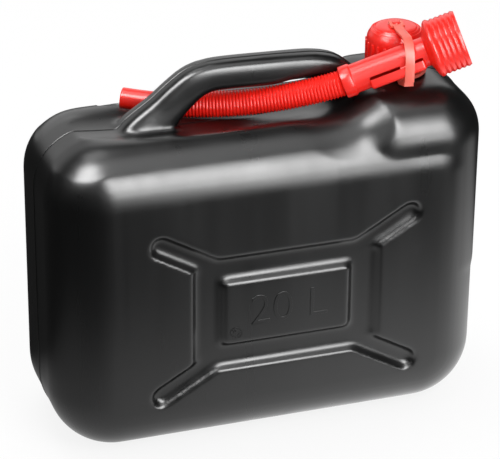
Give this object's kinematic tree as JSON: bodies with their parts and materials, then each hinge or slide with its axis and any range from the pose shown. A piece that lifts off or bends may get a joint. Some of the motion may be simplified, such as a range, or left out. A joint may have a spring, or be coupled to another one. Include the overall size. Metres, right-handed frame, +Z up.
{
  "type": "plastic fuel canister",
  "caption": "Black plastic fuel canister with a moulded carry handle, a red screw cap on a strap, and a red flexible pouring spout stored through the handle.",
  "frame": {"origin": "centre of the base on the floor, under the middle of the tank", "axes": "+X towards the neck end, -Y towards the face with the mark, +Z up"},
  "size_m": [0.442, 0.18, 0.4232],
  "materials": {
    "black_hdpe": "satin blow-moulded polyethylene with faint flow streaks",
    "red_ldpe": "smooth moulded polyethylene",
    "pale_red_pe": "soft moulded polyethylene, slightly paler",
    "black_rubber": "plain"
  },
  "bodies": {
    "can": {"tank_body": "black_hdpe", "carry_handle": "black_hdpe", "filler_neck": "black_hdpe", "strap_ring": "pale_red_pe"},
    "seal": {"cap_washer": "black_rubber"},
    "cap": {"screw_cap": "red_ldpe"},
    "strap": {"retaining_strap": "pale_red_pe"},
    "spout": {"spout_cup": "red_ldpe", "spout_washer": "black_rubber", "spout_tube": "red_ldpe", "spout_hose": "red_ldpe", "spout_tip": "red_ldpe"}
  },
  "joints": [
    {"name": "cap_lift", "type": "slide", "parent": "can", "child": "seal", "axis": [0, 0, 1], "range_m": [0, 0.03]},
    {"name": "cap_turn", "type": "hinge", "parent": "seal", "child": "cap", "pos_m": [0.148, 0, 0.3517], "axis": [0, 0, 1], "range_deg": [0, 2160]},
    {"name": "strap_open", "type": "hinge", "parent": "can", "child": "strap", "pos_m": [0.13785, -0.0641, 0.35918], "axis": [0.9877, -0.1564, 0], "range_deg": [0, 110]},
    {"name": "spout_out", "type": "hinge", "parent": "can", "child": "spout", "pos_m": [0.01873, 0.22073, 0.75106], "axis": [-0.3886, -0.8063, 0.446], "range_deg": [0, 38]}
  ],
  "couplings": [
    {"joint": "cap_lift", "follows": "cap_turn", "m_per_rad": 0.00079577},
    {"joint": "strap_open", "follows": "cap_turn", "ratio": 0.050926}
  ]
}
